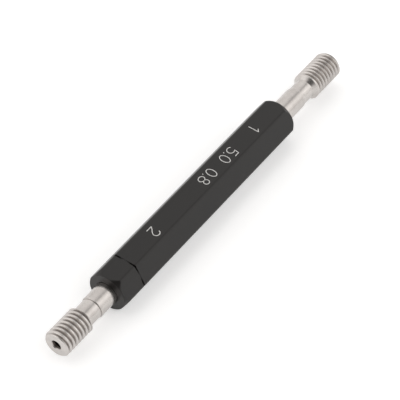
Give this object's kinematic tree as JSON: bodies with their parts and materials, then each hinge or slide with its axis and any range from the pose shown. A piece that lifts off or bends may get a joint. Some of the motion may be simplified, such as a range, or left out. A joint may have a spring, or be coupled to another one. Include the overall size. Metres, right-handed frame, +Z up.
{
  "type": "thread plug gauge",
  "caption": "Double-ended thread plug gauge: hexagonal blackened handle with a ring groove, threaded GO member at one end and shorter NO-GO member at the other.",
  "frame": {"origin": "centre of the bounding box in plan, on the plane of the resting flat", "axes": "+X along the gauge axis towards the GO end, +Z up from the resting flat, +Y across the handle corners"},
  "size_m": [0.0776, 0.0078, 0.0069],
  "materials": {
    "handle": "satin black oxide on steel",
    "gauge_steel": "ground, satin"
  },
  "bodies": {
    "root": {"handle": "handle", "go_member": "gauge_steel", "no_go_member": "gauge_steel"}
  },
  "joints": []
}
